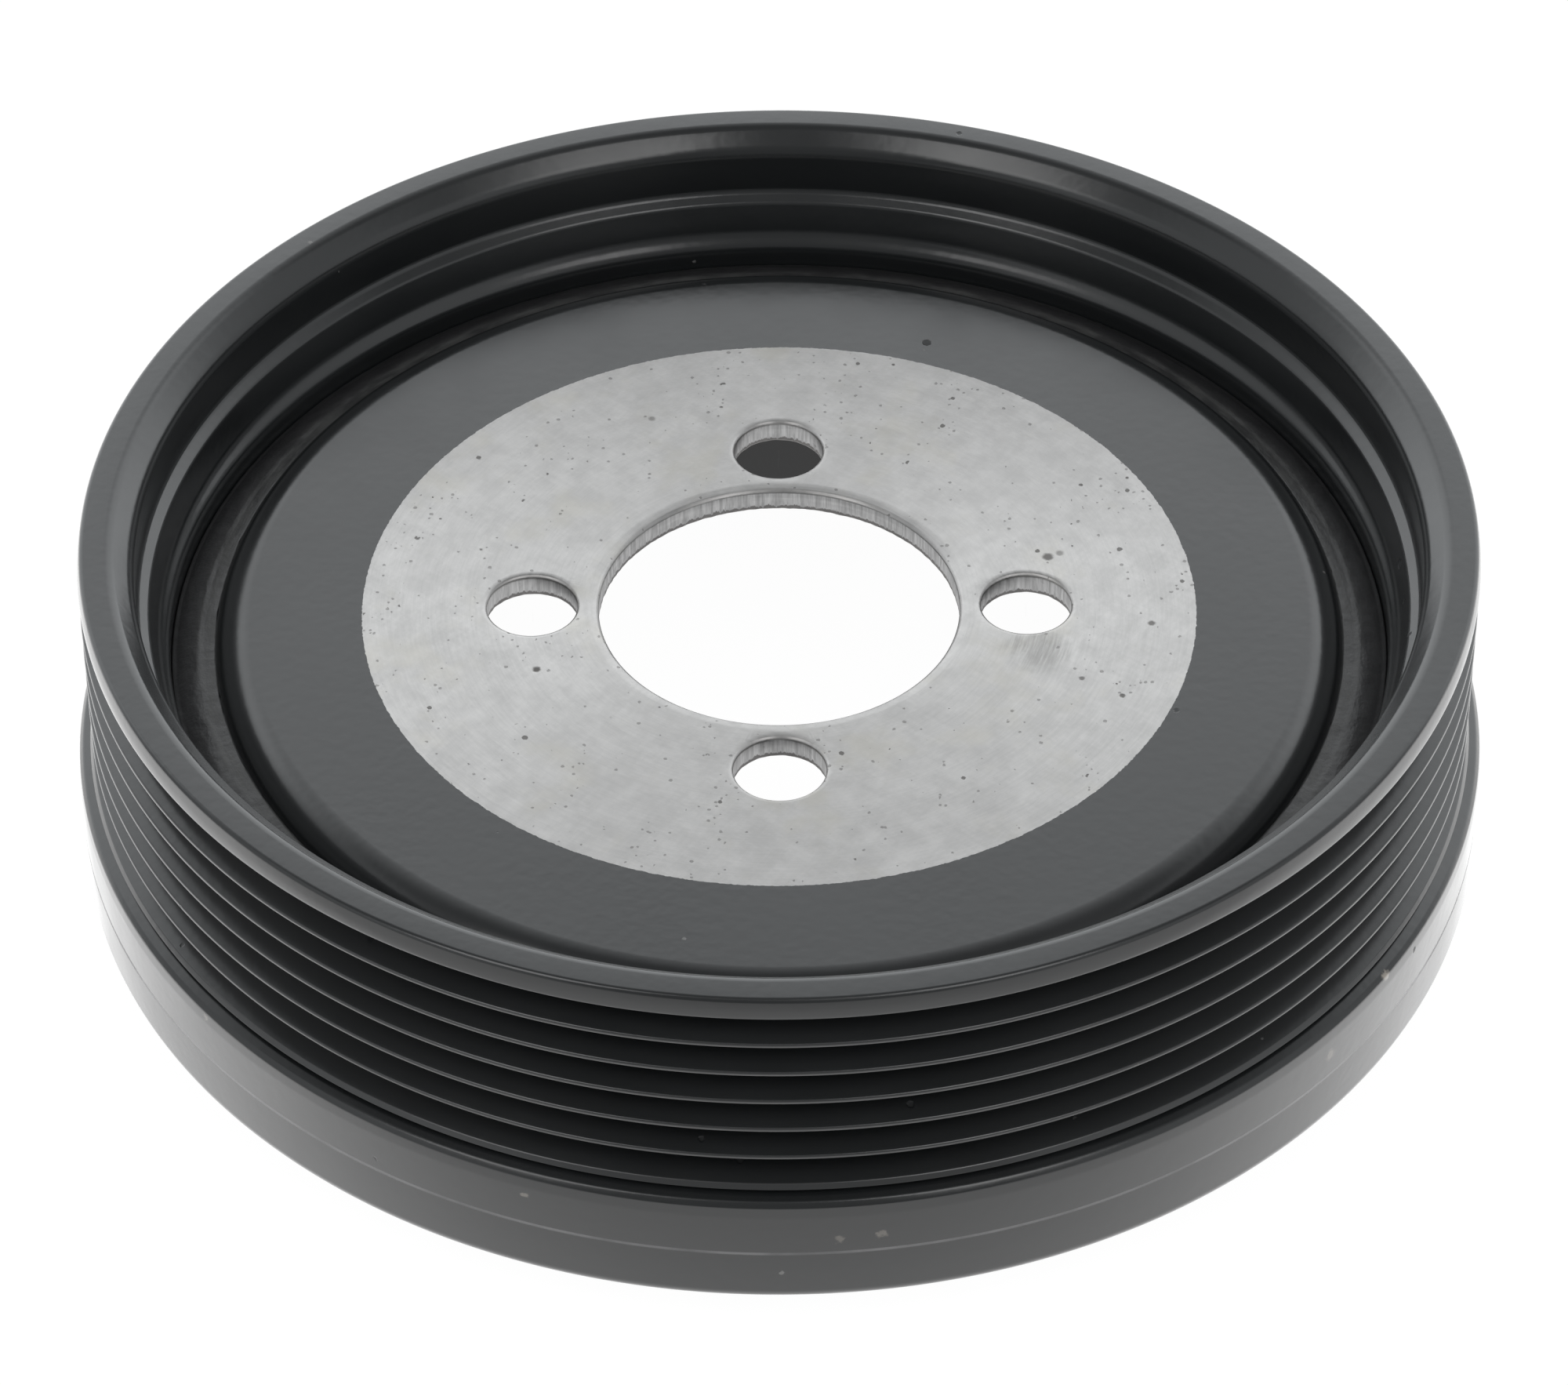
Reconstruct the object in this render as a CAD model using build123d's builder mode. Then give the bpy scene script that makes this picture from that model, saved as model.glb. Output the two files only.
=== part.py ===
"""Harmonic balancer: a six-groove belt pulley ring carried on a drawn steel hub by a bonded rubber ring.

Millimetres. +Z runs along the crank axis towards the front of the engine.
The origin is the centre of the bore at the rear seat, the face that bolts up against the crankshaft.
Every piece turns round Z, so each one is a section in the XZ plane, drawn as (radius, z), and revolved.
"""

import os
from math import radians, tan

from build123d import *

# --- hub: web, bore and bolt circle ---
web_thickness = 2.5
bore_diameter = 35.8
bore_chamfer = 0.5
bolt_hole_diameter = 9.0
bolt_hole_chamfer = 0.3
bolt_to_bore_wall = 2.1
bolt_count = 4

# --- hub: drum wall ---
drum_wall = 2.5
drum_depth = 26.9
shoulder_radius = 3.8
foot_radius = 0.5

# --- rubber ring, bonded between the drum and the pulley ring ---
rubber_thickness = 4.2
lip_drop = 2.5
lip_width = 1.1
trough_drop = 1.0
rear_recess = 2.6
rear_hollow = 1.2

# --- pulley ring: front inner wall ---
lead_in_width = 1.1
lead_in_drop = 1.4
throat_flare = 0.65
throat_depth = 3.2
ledge_width = 1.15
ledge_rise = 0.8
ledge_edge_radius = 0.6
ledge_root_radius = 0.85
cone_width = 2.2
cone_depth = 2.0
cone_foot_radius = 1.0
cone_edge_radius = 0.6

# --- pulley ring: outside ---
belt_diameter = 137.5
ring_wall = 5.15
rim_height = 10.95
rim_edge_radius = 0.6
band_step = 1.55
band_edge_radius = 0.45
rear_edge_radius = 1.5
rear_bore_chamfer = 0.8
rear_face = 23.7

# --- multi-rib belt grooves ---
rib_count = 6
rib_pitch = 3.56
groove_angle = 40.0
groove_depth = 3.2
crest_land = 0.42
crest_radius = 0.26
root_radius = 0.4
first_groove_drop = 3.8

# --- shoulder under the last groove, and the relief groove between it and the plain band ---
shoulder_rise = 0.45
shoulder_drop = 0.5
relief_height = 0.95
relief_depth = 0.8
relief_radius = 0.35

# --- turned witness line round the plain band ---
witness_drop = 6.2
witness_width = 0.44
witness_depth = 0.07

# --- places that follow: outwards from the bore, inwards from the ribs, down from the rim ---
bore_r = bore_diameter / 2
bolt_hole_r = bolt_hole_diameter / 2
bolt_circle_r = bore_r + bolt_to_bore_wall + bolt_hole_r
belt_r = belt_diameter / 2
band_r = belt_r + band_step
ring_bore_r = belt_r - groove_depth - ring_wall
drum_r = ring_bore_r - rubber_thickness
throat_r = ring_bore_r + lead_in_width
ledge_r = throat_r + throat_flare
wall_r = ledge_r + ledge_width
lead_in_z = web_thickness - lead_in_drop
ledge_z = web_thickness + throat_depth
rim_z = web_thickness + rim_height
first_groove_z = rim_z - first_groove_drop
mouth_width = rib_pitch - crest_land
flank_slope = tan(radians(groove_angle / 2))
root_width = mouth_width - 2 * groove_depth * flank_slope
last_mouth_z = first_groove_z - (rib_count - 1) * rib_pitch - mouth_width / 2
shoulder_z = last_mouth_z - shoulder_drop
shoulder_r = belt_r + shoulder_rise
relief_r = shoulder_r - relief_depth
band_top_z = shoulder_z - relief_height
witness_z = band_top_z - witness_drop
front_lip_z = web_thickness - lip_drop
rubber_rear_z = -rear_face + rear_recess

os.makedirs("parts", exist_ok=True)

# --- hub: disc and drum drawn from one sheet ---
with BuildPart() as hub:
    with BuildSketch(Plane.XZ):
        with BuildLine():
            FilletPolyline(
                (0, 0),
                (drum_r - drum_wall, 0),
                (drum_r - drum_wall, -drum_depth),
                (drum_r, -drum_depth),
                (drum_r, web_thickness),
                (0, web_thickness),
                radius=[
                    0,
                    max(shoulder_radius - drum_wall, 0.3),
                    0,
                    min(foot_radius, 0.4 * drum_wall),
                    shoulder_radius,
                    0,
                ],
                close=True,
            )
        make_face()
    revolve(axis=Axis.Z)
    # punched bore and bolt holes, their front edges rolled over by the punch
    with Locations(Plane.XY.offset(web_thickness)):
        CounterSinkHole(bore_r, bore_r + bore_chamfer, counter_sink_angle=90)
        with PolarLocations(bolt_circle_r, bolt_count):
            CounterSinkHole(bolt_hole_r, bolt_hole_r + bolt_hole_chamfer, counter_sink_angle=90)
hub.part.label = "hub"
export_step(hub.part, "parts/hub.step")

# --- damping ring: raised lip against the drum, shallow trough behind it, hollowed rear end ---
with BuildPart() as damping_ring:
    with BuildSketch(Plane.XZ):
        with BuildLine():
            front = FilletPolyline(
                (drum_r, rubber_rear_z),
                (drum_r, web_thickness - shoulder_radius),
                (drum_r - shoulder_radius / 2, front_lip_z),
                (drum_r + lip_width, front_lip_z),
                (drum_r + rubber_thickness / 2 + lip_width / 2, front_lip_z - trough_drop),
                (ring_bore_r, front_lip_z - trough_drop),
                (ring_bore_r, rubber_rear_z),
                radius=[0, 0, 0.4, 0.4, 0],
            )
            ThreePointArc(
                front @ 1,
                ((drum_r + ring_bore_r) / 2, rubber_rear_z + rear_hollow),
                front @ 0,
            )
        make_face()
        # the lip lies on the hub's rounded shoulder
        with Locations((drum_r - shoulder_radius, web_thickness - shoulder_radius)):
            Circle(shoulder_radius, mode=Mode.SUBTRACT)
    revolve(axis=Axis.Z)
damping_ring.part.label = "damping_ring"
export_step(damping_ring.part, "parts/damping_ring.step")

# --- pulley ring: turned section with the belt grooves cut into it ---
with BuildPart() as pulley_ring:
    with BuildSketch(Plane.XZ) as ring_section:
        with BuildLine():
            FilletPolyline(
                # rear face and bore
                (ring_bore_r + rear_bore_chamfer, -rear_face),
                (ring_bore_r, -rear_face + rear_bore_chamfer),
                (ring_bore_r, lead_in_z),
                (throat_r, lead_in_z + lead_in_width),
                # stepped front inner wall up to the rim
                (ledge_r, ledge_z),
                (wall_r, ledge_z + ledge_rise),
                (wall_r, rim_z - cone_depth),
                (wall_r + cone_width, rim_z),
                (belt_r, rim_z),
                # shoulder under the last groove, relief groove, then the plain band
                (belt_r, last_mouth_z),
                (shoulder_r, shoulder_z),
                (relief_r, shoulder_z),
                (relief_r, band_top_z),
                (band_r, band_top_z),
                (band_r, witness_z + witness_width / 2),
                (band_r - witness_depth, witness_z),
                (band_r, witness_z - witness_width / 2),
                (band_r, -rear_face),
                radius=[
                    0,
                    0,
                    0,
                    0,
                    ledge_edge_radius,
                    ledge_root_radius,
                    cone_foot_radius,
                    cone_edge_radius,
                    rim_edge_radius,
                    0,
                    0,
                    relief_radius,
                    relief_radius,
                    band_edge_radius,
                    0,
                    0,
                    0,
                    rear_edge_radius,
                ],
                close=True,
            )
        make_face()
        with Locations([(belt_r, first_groove_z - i * rib_pitch) for i in range(rib_count)]):
            Polygon(
                (1, mouth_width / 2 + flank_slope),
                (-groove_depth, root_width / 2),
                (-groove_depth, -root_width / 2),
                (1, -mouth_width / 2 - flank_slope),
                align=None,
                mode=Mode.SUBTRACT,
            )
        crests = ring_section.vertices().filter_by_position(Axis.X, belt_r - 0.01, belt_r + 0.01)
        crests = crests.filter_by_position(Axis.Y, last_mouth_z - 0.01, first_groove_z + rib_pitch / 2)
        fillet(crests, crest_radius)
        roots = ring_section.vertices().filter_by_position(
            Axis.X, belt_r - groove_depth - 0.01, belt_r - groove_depth + 0.01
        )
        fillet(roots, root_radius)
    revolve(axis=Axis.Z)
pulley_ring.part.label = "pulley_ring"
export_step(pulley_ring.part, "parts/pulley_ring.step")
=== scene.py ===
import math

import bpy
from mathutils import Matrix, Vector, noise


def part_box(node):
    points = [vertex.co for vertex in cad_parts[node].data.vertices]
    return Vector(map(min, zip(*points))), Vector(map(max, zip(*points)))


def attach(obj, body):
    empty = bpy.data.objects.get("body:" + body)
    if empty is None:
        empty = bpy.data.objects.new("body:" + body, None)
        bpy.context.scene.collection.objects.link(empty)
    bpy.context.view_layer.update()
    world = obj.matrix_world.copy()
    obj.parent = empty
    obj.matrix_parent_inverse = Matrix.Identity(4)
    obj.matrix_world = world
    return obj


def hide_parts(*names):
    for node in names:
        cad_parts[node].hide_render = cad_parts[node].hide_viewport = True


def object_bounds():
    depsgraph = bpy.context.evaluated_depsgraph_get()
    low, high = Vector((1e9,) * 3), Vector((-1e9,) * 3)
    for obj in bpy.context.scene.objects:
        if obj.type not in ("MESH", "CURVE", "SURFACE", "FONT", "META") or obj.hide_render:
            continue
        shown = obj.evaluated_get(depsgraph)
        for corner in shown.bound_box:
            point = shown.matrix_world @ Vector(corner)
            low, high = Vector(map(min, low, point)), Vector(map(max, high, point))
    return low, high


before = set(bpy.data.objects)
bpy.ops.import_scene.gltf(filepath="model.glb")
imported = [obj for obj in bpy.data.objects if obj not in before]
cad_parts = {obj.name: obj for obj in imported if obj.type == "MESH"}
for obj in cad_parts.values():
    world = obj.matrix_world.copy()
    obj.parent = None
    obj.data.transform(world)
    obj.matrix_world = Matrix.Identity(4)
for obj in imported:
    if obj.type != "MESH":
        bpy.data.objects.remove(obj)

bl_info = {
    "name": "Harmonic balancer",
    "version": (1, 0, 0),
    "blender": (4, 5, 0),
    "location": "View3D > Sidebar > Balancer",
    "description": "Finishes a belt-grooved crankshaft damper and sets it on a studio floor",
    "category": "Add Mesh",
}

MM = 0.001

CAD_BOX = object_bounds()
HUB_LOW, HUB_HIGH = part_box("hub")
RUBBER_LOW, RUBBER_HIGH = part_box("damping_ring")
RING_LOW, RING_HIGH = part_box("pulley_ring")

GROOVES = 6
BOLT_HOLES = 4

# steps round a full turn
METAL_STEPS = 384
RUBBER_STEPS = 720
PUNCH_STEPS = 96

# a punched wall is torn at its rear: the heights of the points that shape it, and how far they go
TORN_HEIGHTS = (0.35 * MM, 0.7 * MM, 1.05 * MM)
TORN_DEPTH = 0.14 * MM
TOUCH = 0.01 * MM

# how fine the uneven places are, as noise scales per metre
TORN_GRAIN = 1400
TROUGH_GRAIN = 900

# marks with a place of their own: x, y, z and size in millimetres, and how strong each is
BAND_SCUFFS = (
    (58.3, -39.3, -11.4, 0.8, 0.9),
    (52.5, -46.8, -14.6, 0.9, 0.35),
    (5.4, -70.1, -15.6, 0.6, 0.3),
    (9.3, -69.7, -15.3, 0.6, 0.35),
    (-24.0, -66.1, -13.6, 0.5, 0.45),
    (-55.0, -43.8, -12.0, 0.5, 0.4),
    (33.0, -60.6, -3.0, 0.4, 0.5),
)
# the same on the flat seat: x, y and size in millimetres, and how strong each is
SEAT_PITS = (
    (-23.8, -9.9, 0.55, 0.9),
    (36.8, -3.3, 0.5, 0.75),
    (26.9, 7.05, 0.75, 0.8),
    (28.1, 7.6, 0.55, 0.5),
    (29.6, -11.6, 0.4, 0.7),
    (-13.0, 29.5, 0.5, 0.5),
)
RUBBED_PATCH = (25.6 * MM, -7.0 * MM, HUB_HIGH.z)
RUBBED_PATCH_SIZE = 4.2 * MM
# the painted highlight on the rib crests lies between these heights
CRESTS_LOW, CRESTS_HIGH = -10.2 * MM, 11.2 * MM

# colours of wear and dirt, of the lighter witness line, and of the painted highlight on the rib crests
DUST = (0.2, 0.2, 0.197)
# painted highlight on the rib crests
PAINTED_CREST_HIGHLIGHT = (0.10, 0.10, 0.10)
LIGHTER_LINE = (0.16, 0.16, 0.165)
BARED_IRON = (0.34, 0.31, 0.27)
STAIN = (0.46, 0.44, 0.385)
PIT = (0.07, 0.065, 0.06)
RUBBED_STEEL = (0.2, 0.195, 0.185)
TORN_STEEL = (0.11, 0.10, 0.095)
SCUFFED_RUBBER = (0.05, 0.051, 0.05)

COAT_SPECULAR = 0.85

# lamps, room and camera: angles in degrees, lengths in metres
LAMP_AZIMUTHS = {"lamp_left": 224.0, "lamp_right": 306.0}
LAMP_RISE = 50
LAMP_DISTANCE = 1.0
LAMP_WIDTH, LAMP_HEIGHT = 0.36, 0.56
CEILING_TILT = 25

CAMERA_PLACE = (0, -0.48849, 0.41381)
CAMERA_PITCH, CAMERA_YAW, CAMERA_ROLL = 40.890, -0.053, -0.198


# ---------------------------------------------------------------- settings


class BalancerCoatSettings(bpy.types.PropertyGroup):
    """The black coat on the hub and the pulley ring."""

    color: bpy.props.FloatVectorProperty(
        name="Coat colour", description="Colour of the dipped coat", subtype="COLOR",
        size=3, min=0, max=1, default=(0.0105, 0.0118, 0.0125),
    )
    roughness: bpy.props.FloatProperty(
        name="Coat roughness", description="How soft the coat's gloss is", subtype="FACTOR",
        min=0, max=1, default=0.22,
    )
    peel: bpy.props.FloatProperty(
        name="Peel height", description="Height of the fine waviness of the coat", subtype="DISTANCE",
        unit="LENGTH", default=0.012 * MM,
    )


class BalancerBareSettings(bpy.types.PropertyGroup):
    """The bare machined seat on the hub."""

    color: bpy.props.FloatVectorProperty(
        name="Steel colour", description="Colour of the bare turned steel", subtype="COLOR",
        size=3, min=0, max=1, default=(0.49, 0.481, 0.472),
    )
    seat_radius: bpy.props.FloatProperty(
        name="Seat radius", description="Where the turned seat ends and the coat starts",
        subtype="DISTANCE", unit="LENGTH", default=41.35 * MM,
    )
    roughness: bpy.props.FloatProperty(
        name="Steel roughness", description="How dull the turned steel is", subtype="FACTOR",
        min=0, max=1, default=0.42,
    )


class BalancerHubSettings(bpy.types.PropertyGroup):
    """Sizes of the drawn steel hub."""

    bore_diameter: bpy.props.FloatProperty(
        name="Bore", description="Diameter of the punched bore", subtype="DISTANCE", unit="LENGTH",
        default=35.8 * MM,
    )
    bolt_hole_diameter: bpy.props.FloatProperty(
        name="Bolt hole", description="Diameter of each bolt hole", subtype="DISTANCE", unit="LENGTH",
        default=9.0 * MM,
    )
    bolt_circle_diameter: bpy.props.FloatProperty(
        name="Bolt circle", description="Diameter of the circle through the bolt holes",
        subtype="DISTANCE", unit="LENGTH", default=49.0 * MM,
    )
    drum_wall: bpy.props.FloatProperty(
        name="Drum wall", description="Thickness of the drum", subtype="DISTANCE", unit="LENGTH",
        default=2.5 * MM,
    )
    shoulder_radius: bpy.props.FloatProperty(
        name="Shoulder radius", description="Outer rounding between the web and the drum",
        subtype="DISTANCE", unit="LENGTH", default=3.8 * MM,
    )


class BalancerRingSettings(bpy.types.PropertyGroup):
    """Sizes of the grooved pulley ring."""

    rib_pitch: bpy.props.FloatProperty(
        name="Rib pitch", description="Distance from one belt rib to the next", subtype="DISTANCE",
        unit="LENGTH", default=3.56 * MM,
    )
    groove_depth: bpy.props.FloatProperty(
        name="Groove depth", description="Depth of each belt groove", subtype="DISTANCE",
        unit="LENGTH", default=3.2 * MM,
    )
    groove_angle: bpy.props.FloatProperty(
        name="Groove angle", description="Angle between the flanks of a groove", subtype="ANGLE",
        unit="ROTATION", default=math.radians(40),
    )
    groove_mouth: bpy.props.FloatProperty(
        name="Groove mouth", description="Width of a groove at the rib crests", subtype="DISTANCE",
        unit="LENGTH", default=3.14 * MM,
    )
    first_groove_drop: bpy.props.FloatProperty(
        name="First groove drop", description="From the rim down to the middle of the first groove",
        subtype="DISTANCE", unit="LENGTH", default=3.8 * MM,
    )
    band_step: bpy.props.FloatProperty(
        name="Band step", description="How far the plain band stands out past the ribs",
        subtype="DISTANCE", unit="LENGTH", default=1.55 * MM,
    )


class BalancerRubberSettings(bpy.types.PropertyGroup):
    """The bonded rubber between the hub and the pulley ring."""

    color: bpy.props.FloatVectorProperty(
        name="Rubber colour", description="Colour of the moulded rubber", subtype="COLOR",
        size=3, min=0, max=1, default=(0.018, 0.018, 0.019),
    )
    lip_width: bpy.props.FloatProperty(
        name="Lip width", description="Width of the raised lip against the hub", subtype="DISTANCE",
        unit="LENGTH", default=1.1 * MM,
    )
    trough_drop: bpy.props.FloatProperty(
        name="Trough drop", description="How far the trough lies behind the lip", subtype="DISTANCE",
        unit="LENGTH", default=1.0 * MM,
    )
    rear_hollow: bpy.props.FloatProperty(
        name="Rear hollow", description="How deep the rear end is hollowed", subtype="DISTANCE",
        unit="LENGTH", default=1.2 * MM,
    )
    raggedness: bpy.props.FloatProperty(
        name="Raggedness", description="How far the moulded edges wander", subtype="DISTANCE",
        unit="LENGTH", default=0.12 * MM,
    )


class BalancerStageSettings(bpy.types.PropertyGroup):
    """The floor, the lamps and the camera."""

    floor_size: bpy.props.FloatProperty(
        name="Floor size", description="Length of each side of the floor", subtype="DISTANCE",
        unit="LENGTH", default=5.0,
    )
    lamp_power: bpy.props.FloatProperty(
        name="Lamp power", description="Power of each of the two front lamps", unit="POWER",
        default=1.35,
    )
    room_light: bpy.props.FloatProperty(
        name="Room light", description="Strength of the even light from all round", min=0, default=0.8,
    )
    camera_lens: bpy.props.FloatProperty(
        name="Lens", description="Focal length in millimetres on a 36 mm wide sensor", default=147.78,
    )


# ---------------------------------------------------------------- node helpers


class Nodes:
    """A material or a world under construction: short names for the nodes that it needs."""

    def __init__(self, owner, output):
        owner.use_nodes = True
        self.owner = owner
        self.tree = owner.node_tree
        self.tree.nodes.clear()
        self.output = self.add(output)

    def add(self, kind, **values):
        node = self.tree.nodes.new(kind)
        for name, value in values.items():
            setattr(node, name, value)
        return node

    def feed(self, socket, value):
        """Links a socket to another node's output, or sets it to a plain value."""
        if isinstance(value, bpy.types.NodeSocket):
            self.tree.links.new(value, socket)
        elif socket.type == "RGBA":
            socket.default_value = (*value, 1.0)
        else:
            socket.default_value = value

    def fed(self, kind, *inputs, **values):
        """A new node with its first sockets fed in order."""
        node = self.add(kind, **values)
        for socket, value in zip(node.inputs, inputs):
            self.feed(socket, value)
        return node

    def math(self, operation, *inputs):
        return self.fed("ShaderNodeMath", *inputs, operation=operation).outputs[0]

    def times(self, first, *others):
        for other in others:
            first = self.math("MULTIPLY", first, other)
        return first

    def plus(self, first, *others):
        for other in others:
            first = self.math("ADD", first, other)
        return first

    def ramp(self, value, span, result, smooth=True):
        """Carries a span of the value onto a span of results, and holds the ends outside it."""
        shape = "SMOOTHSTEP" if smooth else "LINEAR"
        node = self.fed("ShaderNodeMapRange", value, *span, *result, interpolation_type=shape)
        return node.outputs[0]

    def split(self, vector):
        return self.fed("ShaderNodeSeparateXYZ", vector).outputs

    def shader(self, kind, **sockets):
        """A shader with the named sockets fed."""
        node = self.add(kind)
        for name, value in sockets.items():
            self.feed(node.inputs[name.replace("_", " ")], value)
        return node.outputs[0]

    def joined(self, factor, first, second):
        """The first shader where the factor is 0, the second where it is 1."""
        return self.fed("ShaderNodeMixShader", factor, first, second).outputs[0]

    def close(self, shader):
        self.feed(self.output.inputs["Surface"], shader)
        return self.owner


class Finish(Nodes):
    """A material whose patterns lie on the piece's own coordinates, in metres round its axis."""

    def __init__(self, name):
        super().__init__(bpy.data.materials.new(name), "ShaderNodeOutputMaterial")
        self.point = self.add("ShaderNodeTexCoord").outputs["Object"]
        self.x, self.y, self.z = self.split(self.point)
        squares = self.plus(self.times(self.x, self.x), self.times(self.y, self.y))
        self.radius = self.math("SQRT", squares)

    def band(self, value, low, high, soft):
        """1 where value lies between low and high, with edges that fade over soft."""
        rise = self.ramp(value, (low - soft, low + soft), (0, 1))
        fall = self.ramp(value, (high - soft, high + soft), (1, 0))
        return self.times(rise, fall)

    def scaled(self, across, along, upwards, turn=0.0):
        """The point, turned round the axis by so many degrees and then scaled."""
        aligned = self.fed("ShaderNodeVectorRotate", self.point, rotation_type="Z_AXIS")
        aligned.inputs["Angle"].default_value = math.radians(turn)
        node = self.fed("ShaderNodeMapping", aligned.outputs[0])
        node.inputs["Scale"].default_value = (across, along, upwards)
        return node.outputs[0]

    def turned(self, across, along):
        """A vector that changes fast across the turning marks and slowly along them, with no seam."""
        marks = self.times(self.plus(self.radius, self.z), across)
        x, y = self.times(self.x, along), self.times(self.y, along)
        return self.fed("ShaderNodeCombineXYZ", marks, x, y).outputs[0]

    def outwards(self):
        """The direction away from the axis, across the turning marks."""
        flat = self.fed("ShaderNodeCombineXYZ", self.x, self.y)
        return self.fed("ShaderNodeVectorMath", flat.outputs[0], operation="NORMALIZE").outputs[0]

    def shaken(self, scale, reach):
        """The point, moved about by a noise, so that round marks get ragged outlines."""
        shake = self.fed("ShaderNodeTexNoise", self.point)
        shake.inputs["Scale"].default_value = scale
        centred = self.fed("ShaderNodeVectorMath", shake.outputs["Color"], (0.5, 0.5, 0.5),
                           operation="SUBTRACT")
        moved = self.fed("ShaderNodeVectorMath", centred.outputs[0], (reach, reach, reach), self.point,
                         operation="MULTIPLY_ADD")
        return moved.outputs[0]

    def near(self, spot, size, vector):
        """1 at a place, fading to 0 at that distance from it."""
        apart = self.fed("ShaderNodeVectorMath", vector, spot, operation="DISTANCE")
        return self.ramp(apart.outputs["Value"], (0.4 * size, size), (1, 0))

    def grain(self, scale, detail, rough, vector=None, distortion=0.0):
        node = self.fed("ShaderNodeTexNoise", vector or self.point)
        node.inputs["Scale"].default_value = scale
        node.inputs["Detail"].default_value = detail
        node.inputs["Roughness"].default_value = rough
        node.inputs["Distortion"].default_value = distortion
        return node.outputs["Fac"]

    def specks(self, scale, share, size, vector):
        """Small round marks: 1 at the heart of a share of the cells, 0 elsewhere."""
        cells = self.fed("ShaderNodeTexVoronoi", vector)
        cells.inputs["Scale"].default_value = scale
        pick = self.fed("ShaderNodeSeparateColor", cells.outputs["Color"])
        chosen = self.math("LESS_THAN", pick.outputs[0], share)
        reach = self.times(pick.outputs[1], size)
        inside = self.ramp(self.math("SUBTRACT", cells.outputs["Distance"], reach), (-0.06, 0.0), (1, 0))
        return self.times(chosen, inside)

    def mix(self, factor, first, second):
        """The first colour where the factor is 0, the second where it is 1."""
        node = self.add("ShaderNodeMix", data_type="RGBA")
        for socket, value in zip((node.inputs[0], *node.inputs[6:8]), (factor, first, second)):
            self.feed(socket, value)
        return node.outputs[2]

    def bump(self, height):
        """The surface's direction where it stands out by a height in metres."""
        node = self.add("ShaderNodeBump")
        node.inputs["Strength"].default_value = 1.0
        node.inputs["Distance"].default_value = 1.0
        self.feed(node.inputs["Height"], height)
        return node.outputs[0]


# ---------------------------------------------------------------- finishes


def toned(color, factor):
    return tuple(channel * factor for channel in color)


def coat_layers(finish, coat):
    """Colour, roughness and surface direction of the black coat."""
    cloud = finish.grain(45, detail=3, rough=0.6)
    ragged = finish.shaken(2500, 0.35 * MM)
    specks = finish.specks(260, share=0.1, size=0.16, vector=ragged)
    dust = finish.specks(330, share=0.06, size=0.13, vector=ragged)
    color = finish.mix(cloud, toned(coat.color, 0.8), toned(coat.color, 1.2))
    color = finish.mix(finish.times(dust, 0.8), color, DUST)
    roughness = finish.ramp(cloud, (0.3, 0.7), (coat.roughness - 0.03, coat.roughness + 0.05))
    roughness = finish.plus(roughness, finish.times(dust, 0.3), finish.times(specks, 0.4))
    marks = finish.grain(1.0, detail=1, rough=0.6, vector=finish.turned(across=2600, along=25))
    peel = finish.grain(850, detail=1, rough=0.55)
    height = finish.plus(finish.times(marks, 0.0008 * MM), finish.times(peel, coat.peel),
                         finish.times(specks, -0.05 * MM))
    return color, roughness, finish.bump(height)


def coat_shader(finish, color, roughness, normal):
    return finish.shader("ShaderNodeBsdfPrincipled", Base_Color=color, Roughness=roughness, IOR=1.5,
                         Specular_IOR_Level=COAT_SPECULAR, Normal=normal)


def ring_finish(coat, crest_radius, witness):
    """Black coat with a painted highlight on the rib crests, coloured lighter along the witness line and
    chipped on the band.
    """
    finish = Finish("ring_black_coat")
    color, roughness, normal = coat_layers(finish, coat)

    # painted highlight: the rib crests are painted a little brighter, standing in for the bright line
    # that their roundings reflect
    crest_highlight = finish.ramp(finish.radius, (crest_radius - 0.16 * MM, crest_radius - 0.02 * MM), (0, 1))
    crest_highlight = finish.times(crest_highlight, finish.band(finish.z, CRESTS_LOW, CRESTS_HIGH, 0.1 * MM), 0.2)
    color = finish.mix(crest_highlight, color, PAINTED_CREST_HIGHLIGHT)

    # the witness line is coloured lighter, unevenly
    line = finish.band(finish.z, witness - 0.16 * MM, witness + 0.16 * MM, 0.07 * MM)
    outside = finish.ramp(finish.radius, (crest_radius, crest_radius + 1 * MM), (0, 1))
    uneven = finish.ramp(finish.grain(160, detail=3, rough=0.6), (0.3, 0.65), (0.45, 1.0))
    color = finish.mix(finish.times(line, outside, uneven, 0.8), color, LIGHTER_LINE)

    # a chip on the band's edge and a few scuffs
    torn = finish.shaken(1600, 1.1 * MM)
    for x, y, z, size, strength in BAND_SCUFFS:
        scuff = finish.near((x * MM, y * MM, z * MM), size * MM, torn)
        color = finish.mix(finish.times(scuff, strength), color, BARED_IRON)
    return finish.close(coat_shader(finish, color, roughness, normal))


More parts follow.
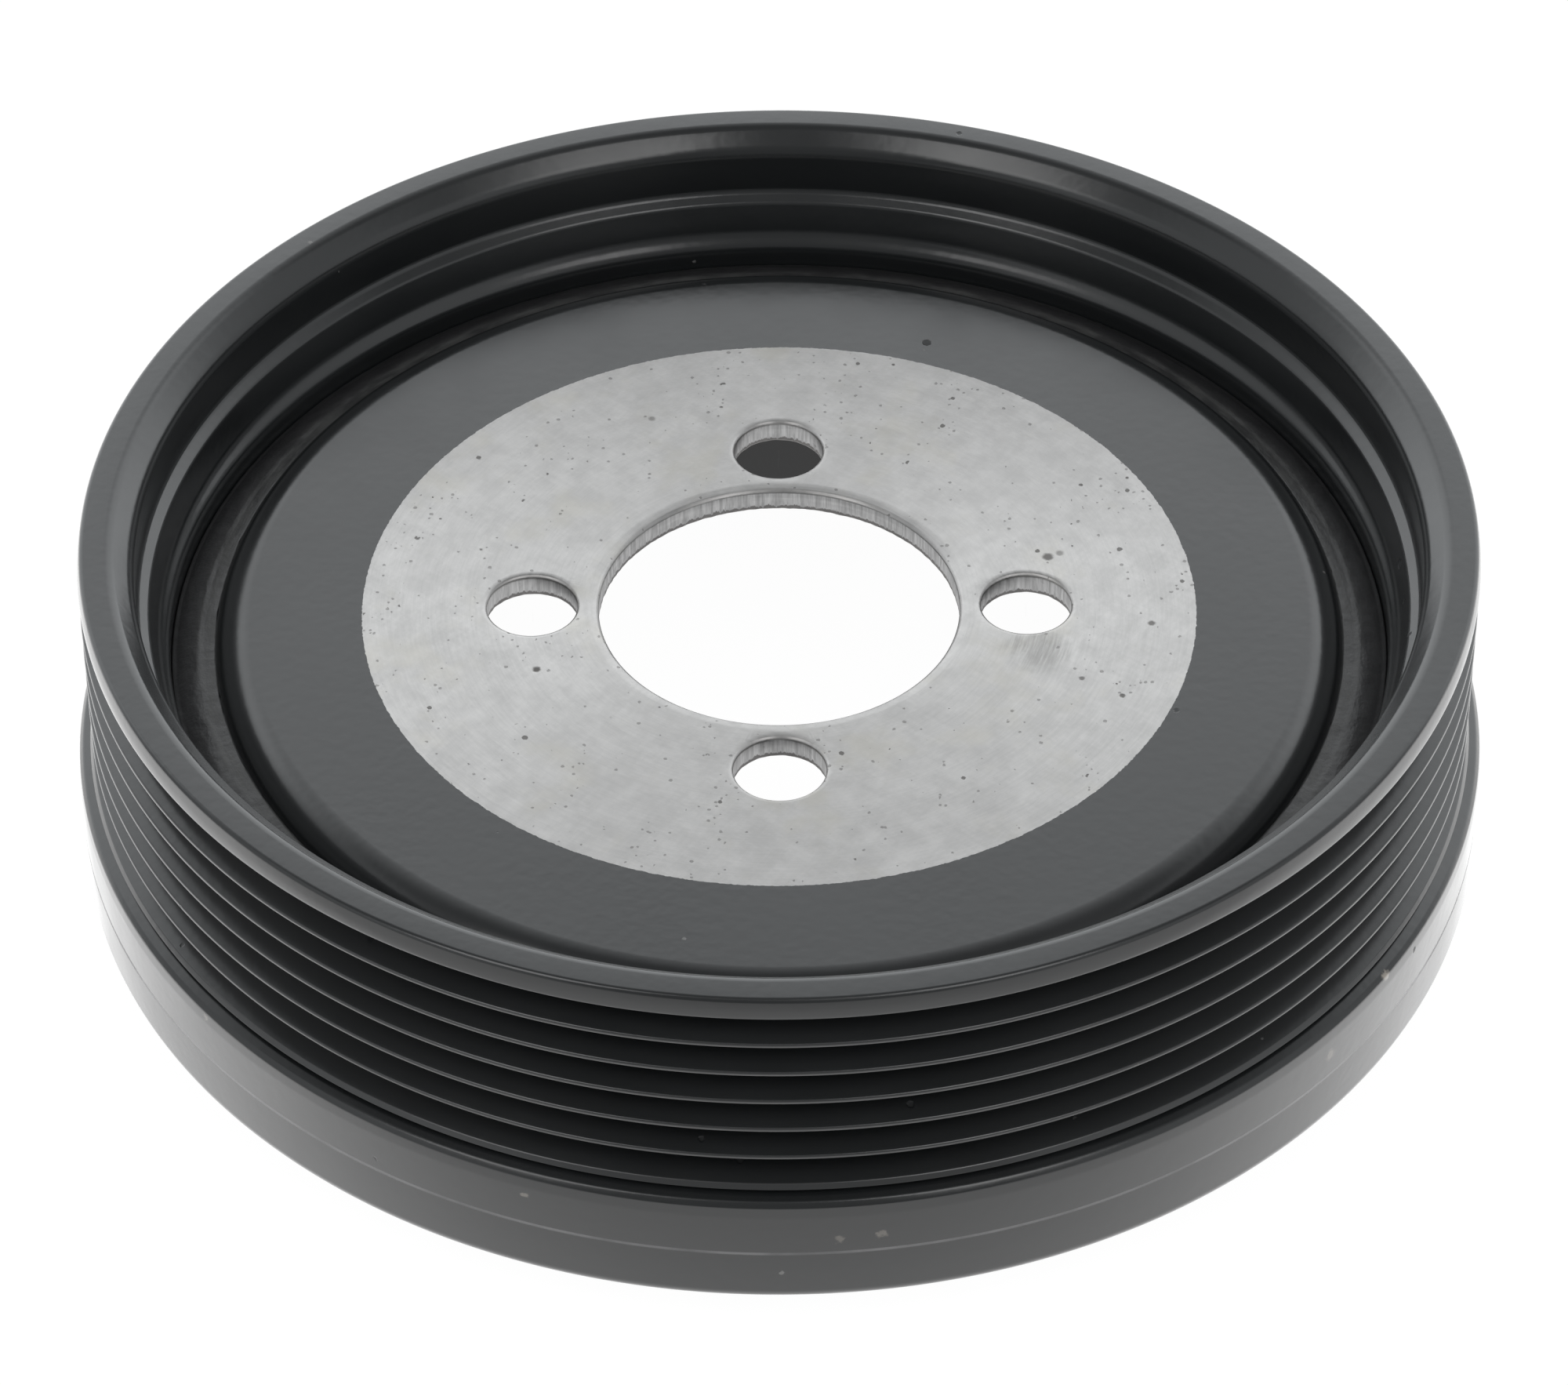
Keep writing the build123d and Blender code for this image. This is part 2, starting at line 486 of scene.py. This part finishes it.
def steel_pits(finish, ragged):
    """1 in a pit, 0 outside: pits in drifts, from dust-fine to a few that show."""
    clouds = finish.grain(1.0, detail=3, rough=0.6, vector=finish.scaled(240, 90, 90, turn=20))
    drift = finish.ramp(clouds, (0.5, 0.68), (0.0, 1.0))
    fine = finish.specks(1900, finish.ramp(drift, (0, 1), (0.06, 0.5)), size=0.42, vector=ragged)
    middling = finish.specks(850, finish.ramp(drift, (0, 1), (0.03, 0.3)), size=0.3, vector=ragged)
    coarse = finish.specks(300, share=0.09, size=0.16, vector=ragged)
    pits = finish.math("MAXIMUM", finish.times(fine, 0.45), finish.times(middling, 0.75))
    pits = finish.math("MAXIMUM", pits, finish.times(coarse, 0.8))
    for x, y, size, strength in SEAT_PITS:
        mark = finish.near((x * MM, y * MM, HUB_HIGH.z), size * MM, ragged)
        pits = finish.math("MAXIMUM", pits, finish.times(mark, strength))
    return pits


def steel_shader(finish, bare):
    """Turned steel with stains, pits and a rubbed patch, and the punched walls of the holes."""
    # faint marks round the axis, crossed by fainter ones
    lines = finish.grain(1.0, detail=3, rough=0.7, vector=finish.turned(across=2400, along=160))
    crossed = finish.times(*(
        finish.grain(1.0, detail=2, rough=0.6, vector=finish.scaled(2600, 260, 100, turn))
        for turn in (35, -50)
    ))
    mottle = finish.grain(330, detail=4, rough=0.7)
    cloud = finish.grain(75, detail=4, rough=0.65, distortion=0.6)
    tone = finish.times(
        finish.ramp(lines, (0.25, 0.75), (0.9, 1.07)),
        finish.ramp(crossed, (0.15, 0.4), (0.97, 1.02)),
        finish.ramp(mottle, (0.3, 0.7), (0.93, 1.06)),
        finish.ramp(cloud, (0.3, 0.7), (1.02, 0.95)),
        0.8,
    )
    steel = finish.mix(tone, (0, 0, 0), toned(bare.color, 1.25))
    stain = finish.ramp(finish.grain(120, detail=3, rough=0.6), (0.52, 0.72), (0, 0.35))
    steel = finish.mix(stain, steel, STAIN)

    ragged = finish.shaken(3200, 0.22 * MM)
    pits = steel_pits(finish, ragged)
    steel = finish.mix(pits, steel, PIT)

    # a rubbed grey patch beside one bolt hole
    patch = finish.near(RUBBED_PATCH, RUBBED_PATCH_SIZE, finish.shaken(500, 3.5 * MM))
    patch = finish.times(patch, finish.ramp(lines, (0.35, 0.7), (0.7, 0.15)), 0.75)
    steel = finish.mix(patch, steel, RUBBED_STEEL)

    # punched walls: burnished streaks at the front, torn towards the rear
    wall = finish.band(finish.z, 0.05 * MM, 2.05 * MM, 0.08 * MM)
    streak = finish.grain(1.0, detail=3, rough=0.65, vector=finish.scaled(2600, 2600, 160))
    steel = finish.mix(wall, steel, finish.ramp(streak, (0.3, 0.7), (0.8, 0.5)))
    torn = finish.plus(finish.z, finish.times(streak, 1.3 * MM))
    torn = finish.times(wall, finish.ramp(torn, (0.95 * MM, 1.15 * MM), (1, 0)), 0.75)
    steel = finish.mix(torn, steel, TORN_STEEL)

    roughness = finish.ramp(lines, (0.3, 0.7), (bare.roughness - 0.04, bare.roughness + 0.06))
    height = finish.plus(
        finish.times(lines, 0.0012 * MM),
        finish.times(mottle, 0.003 * MM),
        finish.times(pits, -0.03 * MM),
        finish.times(wall, streak, 0.02 * MM),
    )
    return finish.shader("ShaderNodeBsdfPrincipled", Base_Color=steel, Roughness=roughness, Metallic=1.0,
                         Anisotropic=0.5, Tangent=finish.outwards(), Normal=finish.bump(height))


def hub_finish(coat, bare):
    """Black coat outside, bare steel inside a slightly ragged circle."""
    finish = Finish("hub_coat_and_bare_seat")
    ragged_edge = finish.math("SUBTRACT", finish.grain(1500, detail=5, rough=0.75), 0.5)
    wandering = finish.plus(finish.radius, finish.times(ragged_edge, 0.42 * MM))
    metal = finish.ramp(wandering, (bare.seat_radius - 0.03 * MM, bare.seat_radius + 0.03 * MM), (1, 0))
    coated = coat_shader(finish, *coat_layers(finish, coat))
    return finish.close(finish.joined(metal, coated, steel_shader(finish, bare)))


def rubber_finish(rubber):
    """Matt black rubber whose lip is scuffed grey."""
    finish = Finish("moulded_rubber")
    cloud = finish.grain(1.0, detail=3, rough=0.65, vector=finish.turned(across=900, along=260))
    color = finish.mix(cloud, toned(rubber.color, 0.6), toned(rubber.color, 1.6))
    lip = finish.ramp(finish.radius, (HUB_HIGH.x + 1.0 * MM, HUB_HIGH.x + 2.2 * MM), (1, 0))
    scuff = finish.times(lip, finish.ramp(cloud, (0.35, 0.7), (0.15, 1.0)))
    color = finish.mix(finish.times(scuff, 0.85), color, SCUFFED_RUBBER)
    roughness = finish.ramp(scuff, (0.0, 1.0), (0.3, 0.42))
    skin = finish.grain(1800, detail=2, rough=0.6)
    normal = finish.bump(finish.plus(finish.times(cloud, 0.05 * MM), finish.times(skin, 0.03 * MM)))
    return finish.close(finish.shader("ShaderNodeBsdfPrincipled", Base_Color=color, Roughness=roughness,
                                      Normal=normal))


# ---------------------------------------------------------------- modelling helpers


def deselect_all():
    if bpy.context.mode != "OBJECT":
        bpy.ops.object.mode_set(mode="OBJECT")
    bpy.ops.object.select_all(action="DESELECT")


def select_only(piece):
    deselect_all()
    piece.select_set(True)
    bpy.context.view_layer.objects.active = piece


def rounded(corners, step_degrees=13.0):
    """The outline through (radius, height, rounding) corners, with an arc at each rounded corner.

    Roundings of half a millimetre or less get steps twice as long.
    """
    points = []
    for i, (r, z, size) in enumerate(corners):
        here = Vector((r, z))
        if size == 0:
            points.append(here)
            continue
        back = (Vector(corners[i - 1][:2]) - here).normalized()
        onward = (Vector(corners[(i + 1) % len(corners)][:2]) - here).normalized()
        half = back.angle(onward) / 2
        centre = here + (back + onward).normalized() * size / math.sin(half)
        start = here + back * size / math.tan(half) - centre
        end = here + onward * size / math.tan(half) - centre
        sweep = math.pi - 2 * half
        step = step_degrees if size > 0.5 * MM else 2 * step_degrees
        steps = max(2, math.ceil(math.degrees(sweep) / step))
        for k in range(steps + 1):
            turn = sweep * k / steps
            arm = start * math.sin(sweep - turn) + end * math.sin(turn)
            points.append(centre + arm / math.sin(sweep))
    return points


def turn_section(name, outline, segments, centre=(0, 0)):
    """Shapes a circle into the outline of a section, and spins it round an upright axis."""
    deselect_all()
    bpy.ops.mesh.primitive_circle_add(vertices=len(outline), radius=1 * MM)
    piece = bpy.context.object
    piece.name = name
    piece.data.name = name
    for vertex, point in zip(piece.data.vertices, outline):
        vertex.co = (centre[0] + point[0], centre[1], point[1])
    bpy.ops.object.mode_set(mode="EDIT")
    bpy.ops.mesh.select_all(action="SELECT")
    bpy.ops.mesh.spin(steps=segments, angle=2 * math.pi, center=(*centre, 0), axis=(0, 0, 1))
    bpy.ops.mesh.select_all(action="SELECT")
    bpy.ops.mesh.remove_doubles(threshold=0.0005 * MM)
    bpy.ops.mesh.normals_make_consistent(inside=False)
    bpy.ops.object.mode_set(mode="OBJECT")
    return piece


def smooth(piece, degrees):
    """Smooth shading up to that angle, with flat faces kept flat."""
    select_only(piece)
    bpy.ops.object.shade_smooth_by_angle(angle=math.radians(degrees))
    bpy.ops.object.modifier_add(type="WEIGHTED_NORMAL")
    weigh = piece.modifiers[-1]
    weigh.keep_sharp = True
    weigh.weight = 100
    bpy.ops.object.modifier_apply(modifier=weigh.name)


def cut(piece, punches):
    """Cuts all the punches out of the piece at once, and removes them."""
    select_only(punches[0])
    for punch in punches:
        punch.select_set(True)
    bpy.ops.object.join()
    select_only(piece)
    bpy.ops.object.modifier_add(type="BOOLEAN")
    cutting = piece.modifiers[-1]
    cutting.operation = "DIFFERENCE"
    cutting.solver = "EXACT"
    cutting.object = punches[0]
    bpy.ops.object.modifier_apply(modifier=cutting.name)
    bpy.data.objects.remove(punches[0])


def stand_for(piece, node, material):
    """The piece takes its node's place and its finish."""
    piece.data.materials.clear()
    piece.data.materials.append(material)
    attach(piece, "root")
    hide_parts(node)


def wave(angle, salt, cycles):
    """Repeatable noise round the axis, from -1 to 1."""
    spot = Vector((math.cos(angle), math.sin(angle), 0)) * cycles
    return noise.noise(spot + Vector((0, 0, salt)))


def tear_edge(piece, centre, hole_radius):
    """Roughens the rear third of a punched wall, where the metal tore instead of shearing."""
    for vertex in piece.data.vertices:
        x, y, z = vertex.co.x - centre[0], vertex.co.y - centre[1], vertex.co.z
        on_wall = abs(math.hypot(x, y) - hole_radius) <= TOUCH
        if not on_wall or not -TOUCH <= z < TORN_HEIGHTS[-1] - TOUCH:
            continue
        tear = 0.5 + 0.5 * noise.noise(vertex.co * TORN_GRAIN)
        push = 1 + TORN_DEPTH * tear * (1 - z / TORN_HEIGHTS[-1]) / hole_radius
        vertex.co.x, vertex.co.y = centre[0] + x * push, centre[1] + y * push


# ---------------------------------------------------------------- operators


class BALANCER_OT_turn_pulley_ring(bpy.types.Operator):
    """Model the grooved pulley ring and give it its black coat"""

    bl_idname = "balancer.turn_pulley_ring"
    bl_label = "Turn pulley ring"

    def execute(self, context):
        sizes = context.scene.balancer_ring
        rim, rear = RING_HIGH.z, RING_LOW.z
        band, bore = RING_HIGH.x, RUBBER_HIGH.x
        belt = band - sizes.band_step
        web = HUB_HIGH.z
        bevel = 0.8 * MM
        ledge = web + 4.0 * MM
        wall = bore + 2.9 * MM
        corners = [
            (bore + bevel, rear, 0.1 * MM),
            (bore, rear + bevel, 0.1 * MM),
            # lead-in, throat and ledge
            (bore, web - 1.45 * MM, 1.9 * MM),
            (bore + 1.0 * MM, web - 0.26 * MM, 2.3 * MM),
            (bore + 1.75 * MM, web + 3.2 * MM, 0.6 * MM),
            (wall, ledge, 0.85 * MM),
            # inner wall, cone, rim and flange
            (wall, rim - 2.0 * MM, 2.0 * MM),
            (bore + 5.1 * MM, rim, 1.5 * MM),
            (belt - 0.28 * MM, rim, 0.5 * MM),
            (belt, rim - 1.4 * MM, 4.0 * MM),
        ]

        mouth = sizes.groove_mouth / 2
        root = mouth - sizes.groove_depth * math.tan(sizes.groove_angle / 2)
        floor = belt - sizes.groove_depth
        for i in range(GROOVES):
            middle = rim - sizes.first_groove_drop - i * sizes.rib_pitch
            corners += [
                (belt, middle + mouth, 0.26 * MM),
                (floor, middle + root, 0.4 * MM),
                (floor, middle - root, 0.4 * MM),
                (belt, middle - mouth, 0.26 * MM),
            ]

        shoulder = middle - mouth - 0.5 * MM
        shelf = shoulder - 0.95 * MM
        relief = belt - 0.35 * MM
        witness = shelf - 6.2 * MM
        nick = 0.22 * MM
        corners += [
            # shoulder, relief and shelf of the plain band
            (belt + 0.33 * MM, shoulder, 0.04 * MM),
            (relief, shoulder, 0.1 * MM),
            (relief, shelf + 0.5 * MM, 0.2 * MM),
            (band - 0.5 * MM, shelf + 0.12 * MM, 0.5 * MM),
            (band - 0.1 * MM, shelf - 0.35 * MM, 0.4 * MM),
            (band, shelf - 1.5 * MM, 4.0 * MM),
            # witness line and rear edge
            (band, witness + nick, 0),
            (band - 0.07 * MM, witness, 0),
            (band, witness - nick, 0),
            (band, rear, 1.5 * MM),
        ]
        ring = turn_section("grooved_ring", rounded(corners), METAL_STEPS)
        smooth(ring, degrees=38)
        stand_for(ring, "pulley_ring", ring_finish(context.scene.balancer_coat, belt, witness))
        return {"FINISHED"}


class BALANCER_OT_draw_hub(bpy.types.Operator):
    """Model the drawn steel hub with its punched holes, coat and bare seat"""

    bl_idname = "balancer.draw_hub"
    bl_label = "Draw hub"

    def execute(self, context):
        sizes = context.scene.balancer_hub
        web, foot, drum = HUB_HIGH.z, HUB_LOW.z, HUB_HIGH.x
        inside = drum - sizes.drum_wall
        bore = sizes.bore_diameter / 2
        corners = [
            (bore, 0, 0),
            *((bore, height, 0) for height in TORN_HEIGHTS),
            (bore, web - 0.38 * MM, 0.25 * MM),
            (bore + 0.3 * MM, web - 0.12 * MM, 0.35 * MM),
            (bore + 1.1 * MM, web, 2.0 * MM),
            (drum, web, sizes.shoulder_radius),
            (drum, foot, 0.5 * MM),
            (inside, foot, 0.15 * MM),
            (inside, 0, sizes.shoulder_radius - sizes.drum_wall),
        ]
        hub = turn_section("hub_pressing", rounded(corners, step_degrees=9), METAL_STEPS)
        tear_edge(hub, (0, 0), bore)
        reach = sizes.bolt_circle_diameter / 2
        punches = []
        for i in range(BOLT_HOLES):
            turn = 2 * math.pi / BOLT_HOLES * i
            spot = (reach * math.cos(turn), reach * math.sin(turn))
            punches.append(self.bolt_punch(sizes.bolt_hole_diameter / 2, web, spot))
        cut(hub, punches)
        smooth(hub, degrees=38)
        stand_for(hub, "hub", hub_finish(context.scene.balancer_coat, context.scene.balancer_bare))
        return {"FINISHED"}

    @staticmethod
    def bolt_punch(hole, web, spot):
        """The body that a bolt hole takes out of the web, with its torn wall and rolled-over mouth."""
        core = 0.001 * MM
        mouth = hole + 0.7 * MM
        past = 1 * MM
        section = rounded([
            (core, -past, 0),
            (hole, -past, 0),
            (hole, 0, 0),
            *((hole, height, 0) for height in TORN_HEIGHTS),
            (hole, web - 0.3 * MM, 0.2 * MM),
            (hole + 0.22 * MM, web - 0.08 * MM, 0.3 * MM),
            (mouth, web + 0.01 * MM, 0),
            (mouth, web + past, 0),
            (core, web + past, 0),
        ])
        punch = turn_section("punch", section, PUNCH_STEPS, spot)
        tear_edge(punch, spot, hole)
        return punch


class BALANCER_OT_mould_damping_ring(bpy.types.Operator):
    """Model the bonded rubber ring with its ragged moulded lip"""

    bl_idname = "balancer.mould_damping_ring"
    bl_label = "Mould damping ring"

    def execute(self, context):
        rubber = context.scene.balancer_rubber
        inner, outer = HUB_HIGH.x, RUBBER_HIGH.x
        top, rear = RUBBER_HIGH.z, RUBBER_LOW.z
        low = top - rubber.trough_drop
        waist = (low + rear) / 2

        # the overlap on the hub's shoulder, up to the lip
        outline = [
            (inner - 0.3 * MM, top - 0.12 * MM),
            (inner - 0.22 * MM, top - 0.02 * MM),
            (inner, top),
        ]
        # the front sags from the lip into the trough beside the pulley ring
        start, end = inner + 0.3 * MM, outer - 0.4 * MM
        steps, sag = 14, 2.2
        for i in range(steps + 1):
            share = i / steps
            outline.append((start + (end - start) * share, top + (low - top) * share ** sag))
        outline += [
            (outer - 0.2 * MM, low - 0.03 * MM),
            (outer - 0.06 * MM, low - 0.14 * MM),
            (outer, low - 0.3 * MM),
            (outer, waist),
            (outer, rear),
        ]
        # the rear is hollow
        middle, half = (inner + outer) / 2, (outer - inner) / 2
        steps = 8
        for i in range(1, steps):
            across = half * math.cos(math.pi * i / steps)
            outline.append((middle + across, rear + rubber.rear_hollow * (1 - (across / half) ** 2)))
        outline += [(inner, rear), (inner, waist), (inner, top - 1.5 * MM)]

        ring = turn_section("rubber_ring", outline, RUBBER_STEPS)
        self.roughen(ring, rubber, inner, top)
        smooth(ring, degrees=50)
        stand_for(ring, "damping_ring", rubber_finish(rubber))
        return {"FINISHED"}

    @staticmethod
    def roughen(ring, rubber, inner, top):
        """Lets the lip and its inner edge wander round the ring, and makes the trough uneven."""
        lip = inner + rubber.lip_width
        low = top - rubber.trough_drop
        for vertex in ring.data.vertices:
            x, y, z = vertex.co
            if z < low - 0.2 * MM:
                continue
            angle, radius = math.atan2(y, x), math.hypot(x, y)
            slow, fast = wave(angle, salt=1.0, cycles=14), wave(angle, salt=5.0, cycles=70)
            ragged = rubber.raggedness * (slow + 0.8 * fast)
            if radius < lip and z > top - 0.5 * MM:
                vertex.co.z = min(top, z + 0.5 * ragged - 0.07 * MM)
            if radius < inner - 0.1 * MM:
                push = 1 + ragged / radius
                vertex.co.x, vertex.co.y = x * push, y * push
            if radius > lip + 0.3 * MM:
                vertex.co.z = z + 0.4 * rubber.raggedness * noise.noise(vertex.co * TROUGH_GRAIN)


class BALANCER_OT_set_stage(bpy.types.Operator):
    """Lay the floor, hang the lamps and place the camera"""

    bl_idname = "balancer.set_stage"
    bl_label = "Set stage"

    def execute(self, context):
        stage = context.scene.balancer_stage
        lay_floor(stage)
        hang_lamps(context.scene, stage)
        light_room(context.scene, stage)
        place_camera(context.scene, stage)
        context.scene.view_settings.view_transform = "Standard"
        return {"FINISHED"}


# ---------------------------------------------------------------- stage


def lay_floor(stage):
    """White paper under the part, level with its lowest point."""
    deselect_all()
    bpy.ops.mesh.primitive_plane_add(size=stage.floor_size, location=(0, 0, CAD_BOX[0].z))
    floor = bpy.context.object
    floor.name = "studio_floor"
    bpy.ops.object.transform_apply(location=True, rotation=True, scale=True)

    paper = Nodes(bpy.data.materials.new("floor_white"), "ShaderNodeOutputMaterial")
    ray = paper.add("ShaderNodeLightPath").outputs
    place = paper.add("ShaderNodeTexCoord").outputs["Object"]
    backward = paper.split(place)[1]
    away = paper.fed("ShaderNodeVectorMath", place, operation="LENGTH").outputs["Value"]
    # painted light and shade, seen only in reflections: the floor glows bright beside and behind the
    # part, fades towards the front, and glows dim beneath the part as a painted shadow
    mirrored = paper.times(
        paper.ramp(backward, (-0.09, -0.035), (1.0, 2.0)),
        paper.ramp(backward, (-0.35, -0.09), (0.3, 1.0)),
        paper.ramp(away, (0.058, 0.07), (0.33, 1.0), smooth=False),
    )
    shown = paper.shader("ShaderNodeBsdfDiffuse", Color=(0.8, 0.8, 0.8))
    for kind, glow, grey in (("Is Glossy Ray", mirrored, 0.02), ("Is Camera Ray", 0.975, 0.06)):
        faint = paper.shader("ShaderNodeBsdfDiffuse", Color=(grey, grey, grey))
        glowing = paper.shader("ShaderNodeEmission", Strength=glow)
        seen = paper.fed("ShaderNodeAddShader", faint, glowing)
        shown = paper.joined(ray[kind], shown, seen.outputs[0])
    # from below, the floor lets the view through
    beneath = paper.add("ShaderNodeNewGeometry").outputs["Backfacing"]
    shown = paper.joined(beneath, shown, paper.shader("ShaderNodeBsdfTransparent"))
    floor.data.materials.append(paper.close(shown))


def hang_lamps(scene, stage):
    """Two tall soft lamps in front, one to each side."""
    for name, azimuth in LAMP_AZIMUTHS.items():
        data = bpy.data.lights.new(name, "AREA")
        data.shape = "RECTANGLE"
        data.size = LAMP_WIDTH
        data.size_y = LAMP_HEIGHT
        data.energy = stage.lamp_power
        lamp = bpy.data.objects.new(name, data)
        scene.collection.objects.link(lamp)
        turn, rise = math.radians(azimuth), math.radians(LAMP_RISE)
        flat = math.cos(rise)
        toward = Vector((math.cos(turn) * flat, math.sin(turn) * flat, math.sin(rise)))
        lamp.location = toward * LAMP_DISTANCE
        lamp.rotation_euler = toward.to_track_quat("Z", "Y").to_euler()


def light_room(scene, stage):
    """Even light from all round; in reflections, white walls under a dark ceiling."""
    scene.world = bpy.data.worlds.new("studio_room")
    room = Nodes(scene.world, "ShaderNodeOutputWorld")
    ray = room.add("ShaderNodeLightPath").outputs
    direction = room.add("ShaderNodeTexCoord").outputs["Generated"]
    sideways, backward, _ = room.split(direction)
    # the ceiling comes down lower in front than at the back and the sides, and the back is brightest
    tilt = math.radians(CEILING_TILT)
    raised = (0, -math.sin(tilt), math.cos(tilt))
    up = room.fed("ShaderNodeVectorMath", direction, raised, operation="DOT_PRODUCT").outputs["Value"]
    overhead = room.math("MULTIPLY_ADD", room.times(sideways, sideways), -0.9, up)
    walls = room.times(
        room.ramp(overhead, (0.15, 0.43), (1.0, 0.4)),
        room.ramp(backward, (0.2, 0.65), (0.6, 1.75)),
    )
    mirrored = room.shader("ShaderNodeBackground", Color=(0.97, 1.0, 1.02), Strength=walls)
    even = room.shader("ShaderNodeBackground", Strength=stage.room_light)
    white = room.shader("ShaderNodeBackground", Strength=1.0)
    direct = room.math("MAXIMUM", ray["Is Camera Ray"], ray["Is Transmission Ray"])
    room.close(room.joined(direct, room.joined(ray["Is Glossy Ray"], even, mirrored), white))


def place_camera(scene, stage):
    data = bpy.data.cameras.new("studio_camera")
    data.sensor_width = 36.0
    data.lens = stage.camera_lens
    data.clip_start = 0.01
    data.clip_end = 20
    camera = bpy.data.objects.new("studio_camera", data)
    scene.collection.objects.link(camera)
    pitch, yaw, roll = (math.radians(angle) for angle in (CAMERA_PITCH, CAMERA_YAW, CAMERA_ROLL))
    look = Vector((0, math.cos(pitch), -math.sin(pitch)))
    lift = Vector((0, math.sin(pitch), math.cos(pitch)))
    side = Vector((1, 0, 0))
    right = side * math.cos(roll) + lift * math.sin(roll)
    up = lift * math.cos(roll) - side * math.sin(roll)
    axes = Matrix((right, up, -look)).transposed()
    spin = Matrix.Rotation(yaw, 3, "Z")
    camera.matrix_world = Matrix.Translation(CAMERA_PLACE) @ (spin @ axes).to_4x4()
    scene.camera = camera


# ---------------------------------------------------------------- panel and registration


class BALANCER_PT_tools(bpy.types.Panel):
    """Lists the balancer's steps and settings"""

    bl_label = "Harmonic balancer"
    bl_idname = "BALANCER_PT_tools"
    bl_space_type = "VIEW_3D"
    bl_region_type = "UI"
    bl_category = "Balancer"

    def draw(self, context):
        for step in STEPS:
            self.layout.operator(step.bl_idname)
        for settings in SETTINGS:
            box = self.layout.box()
            group = getattr(context.scene, settings)
            for name in group.__annotations__:
                box.prop(group, name)


STEPS = (
    BALANCER_OT_turn_pulley_ring,
    BALANCER_OT_draw_hub,
    BALANCER_OT_mould_damping_ring,
    BALANCER_OT_set_stage,
)
SETTINGS = {
    "balancer_coat": BalancerCoatSettings,
    "balancer_bare": BalancerBareSettings,
    "balancer_hub": BalancerHubSettings,
    "balancer_ring": BalancerRingSettings,
    "balancer_rubber": BalancerRubberSettings,
    "balancer_stage": BalancerStageSettings,
}
CLASSES = (*SETTINGS.values(), *STEPS, BALANCER_PT_tools)


def register():
    for cls in CLASSES:
        bpy.utils.register_class(cls)
    for name, group in SETTINGS.items():
        setattr(bpy.types.Scene, name, bpy.props.PointerProperty(type=group))


def unregister():
    for name in SETTINGS:
        delattr(bpy.types.Scene, name)
    for cls in reversed(CLASSES):
        bpy.utils.unregister_class(cls)


def main():
    register()
    bpy.ops.balancer.turn_pulley_ring()
    bpy.ops.balancer.draw_hub()
    bpy.ops.balancer.mould_damping_ring()
    bpy.ops.balancer.set_stage()


if __name__ == "__main__":
    main()
